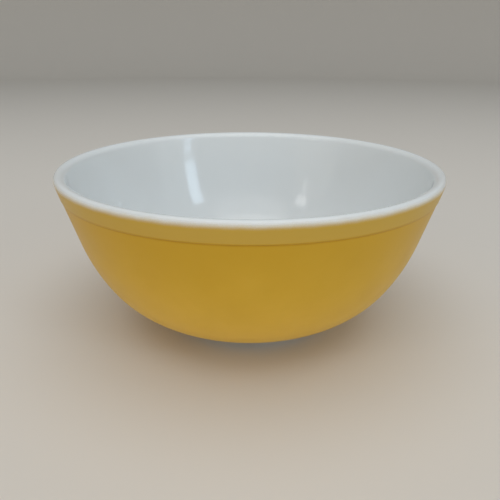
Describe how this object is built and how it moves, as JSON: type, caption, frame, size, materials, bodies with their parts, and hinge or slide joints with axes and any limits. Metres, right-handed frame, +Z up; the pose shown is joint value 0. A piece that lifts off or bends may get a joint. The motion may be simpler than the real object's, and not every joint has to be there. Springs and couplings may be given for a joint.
{
  "type": "mixing bowl",
  "caption": "Round pressed opal-glass mixing bowl with a rolled rim, a thickened collar, a low foot ring, a white inside and a yellow enamelled outside.",
  "frame": {"origin": "centre of the foot's resting plane, on the bowl's axis", "axes": "+Z up the bowl's axis, out of its mouth; the bowl is round, so +X and +Y are free"},
  "size_m": [0.2666, 0.2666, 0.12],
  "materials": {
    "opal_glass": "polished opaque white opal glass",
    "yellow_enamel": "satin gloss fired-on enamel"
  },
  "bodies": {
    "root": {"opal_glass_body": "opal_glass", "yellow_enamel_coat": "yellow_enamel"}
  },
  "joints": []
}
